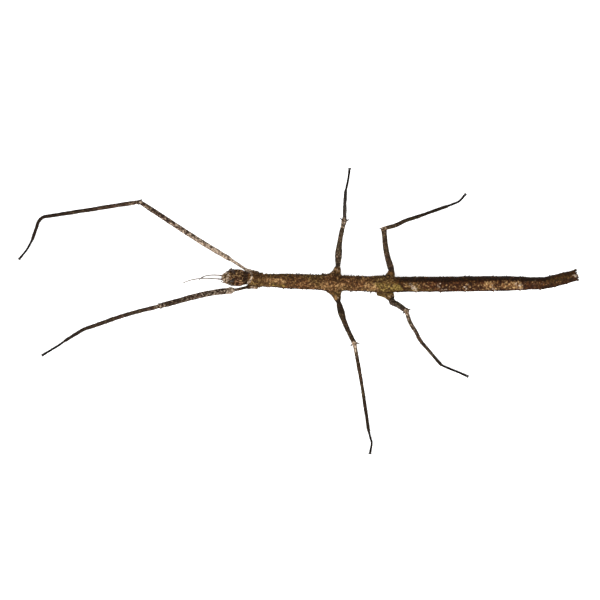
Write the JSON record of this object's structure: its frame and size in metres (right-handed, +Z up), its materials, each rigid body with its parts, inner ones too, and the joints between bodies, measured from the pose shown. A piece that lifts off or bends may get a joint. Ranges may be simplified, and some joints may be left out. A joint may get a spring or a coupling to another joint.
{
  "type": "stick insect",
  "caption": "Wingless adult female stick insect standing still: long twig-like segmented body, thin bent legs on flat soles, ear-like horns on the head and short hair-like feelers.",
  "frame": {"origin": "centre of the footprint, on the plane of the soles", "axes": "+Z up, the body along X with the head towards -X, the right-hand legs towards +Y"},
  "size_m": [0.1754, 0.0922, 0.0305],
  "materials": {
    "thorax_cuticle": "dull bark-brown chitin, granular, speckled tan, dark along the back",
    "abdomen_cuticle": "dull dark-brown chitin with tan and olive patches",
    "foreleg_cuticle": "dull pinkish-cream chitin, mottled brown, darker tibia",
    "leg_cuticle": "dull dark grey-brown chitin with paler knees",
    "foot_cuticle": "near-black chitin, slight shine",
    "feeler_cuticle": "thin grey translucent-looking chitin",
    "horn_cuticle": "dull dark-brown chitin",
    "eye": "smooth domed dark eye, glossy"
  },
  "bodies": {
    "root": {"head": "thorax_cuticle", "mouthparts": "horn_cuticle", "eye_right": "eye", "horn_right": "horn_cuticle", "antenna_right": "feeler_cuticle", "palp_right": "foot_cuticle", "eye_left": "eye", "horn_left": "horn_cuticle", "antenna_left": "feeler_cuticle", "palp_left": "foot_cuticle", "prothorax": "thorax_cuticle", "mesothorax": "thorax_cuticle", "metathorax": "thorax_cuticle", "abdomen_2": "abdomen_cuticle", "abdomen_3": "abdomen_cuticle", "abdomen_4": "abdomen_cuticle", "abdomen_5": "abdomen_cuticle", "abdomen_6": "abdomen_cuticle", "abdomen_7": "abdomen_cuticle", "abdomen_8": "abdomen_cuticle", "abdomen_9": "abdomen_cuticle", "abdomen_10": "abdomen_cuticle", "operculum": "abdomen_cuticle", "cercus_right": "abdomen_cuticle", "cercus_left": "abdomen_cuticle", "coxa_front_right": "thorax_cuticle", "femur_front_right": "foreleg_cuticle", "tibia_front_right": "foreleg_cuticle", "tarsus_front_right": "foot_cuticle", "claws_front_right": "foot_cuticle", "coxa_front_left": "thorax_cuticle", "femur_front_left": "foreleg_cuticle", "tibia_front_left": "foreleg_cuticle", "tarsus_front_left": "foot_cuticle", "claws_front_left": "foot_cuticle", "coxa_middle_right": "thorax_cuticle", "femur_middle_right": "leg_cuticle", "tibia_middle_right": "leg_cuticle", "tarsus_middle_right": "foot_cuticle", "claws_middle_right": "foot_cuticle", "coxa_middle_left": "thorax_cuticle", "femur_middle_left": "leg_cuticle", "tibia_middle_left": "leg_cuticle", "tarsus_middle_left": "foot_cuticle", "claws_middle_left": "foot_cuticle", "coxa_hind_right": "thorax_cuticle", "femur_hind_right": "leg_cuticle", "tibia_hind_right": "leg_cuticle", "tarsus_hind_right": "foot_cuticle", "claws_hind_right": "foot_cuticle", "coxa_hind_left": "thorax_cuticle", "femur_hind_left": "leg_cuticle", "tibia_hind_left": "leg_cuticle", "tarsus_hind_left": "foot_cuticle", "claws_hind_left": "foot_cuticle"}
  },
  "joints": []
}
